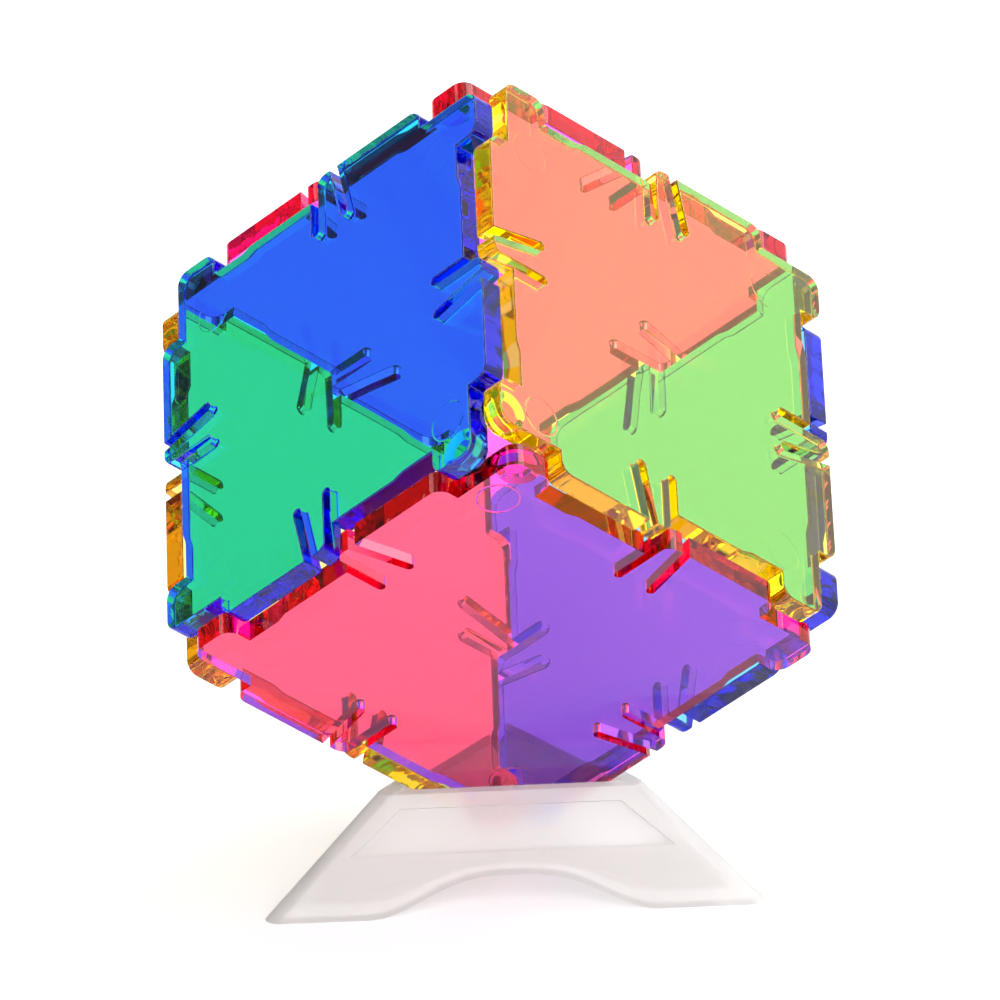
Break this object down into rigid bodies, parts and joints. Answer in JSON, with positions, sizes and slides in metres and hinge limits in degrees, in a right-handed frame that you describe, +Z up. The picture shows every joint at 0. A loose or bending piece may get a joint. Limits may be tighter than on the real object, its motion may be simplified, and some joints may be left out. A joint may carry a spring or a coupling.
{
  "type": "colour-mixing panel cube",
  "caption": "Hollow cube of clear coloured snap-together panels, standing on one corner in a small three-sided frosted stand.",
  "frame": {"origin": "middle of the stand's underside, on the cube's upright corner-to-corner diagonal", "axes": "+Z up along that diagonal, -Y towards the front, where a cube corner and a flat wall of the stand face, +X to the right"},
  "size_m": [0.0832, 0.0926, 0.1019],
  "materials": {
    "frosted_plastic": "frosted clear",
    "cyan_plastic": "clear gloss",
    "magenta_plastic": "clear gloss",
    "yellow_plastic": "clear gloss"
  },
  "bodies": {
    "stand": {"stand": "frosted_plastic"},
    "front_bottom": {"front_bottom_panel": "magenta_plastic"},
    "back_pair": {"back_left_panel": "yellow_plastic", "back_right_panel": "cyan_plastic"},
    "front_left": {"front_left_panel": "cyan_plastic"},
    "front_right": {"front_right_panel": "yellow_plastic"},
    "top_back": {"top_back_panel": "magenta_plastic"}
  },
  "joints": [
    {"name": "cube_lift", "type": "slide", "parent": "stand", "child": "front_bottom", "axis": [0, 0, 1], "range_m": [0, 0.05]},
    {"name": "front_bottom_unsnap", "type": "slide", "parent": "front_bottom", "child": "back_pair", "axis": [0, 0.8165, 0.5773], "range_m": [0, 0.02]},
    {"name": "front_left_unsnap", "type": "slide", "parent": "back_pair", "child": "front_left", "axis": [-0.7071, -0.4082, 0.5774], "range_m": [0, 0.025]},
    {"name": "front_right_unsnap", "type": "slide", "parent": "back_pair", "child": "front_right", "axis": [0.7071, -0.4082, 0.5774], "range_m": [0, 0.025]},
    {"name": "top_back_unsnap", "type": "slide", "parent": "back_pair", "child": "top_back", "axis": [0, 0.8165, 0.5773], "range_m": [0, 0.025]}
  ]
}
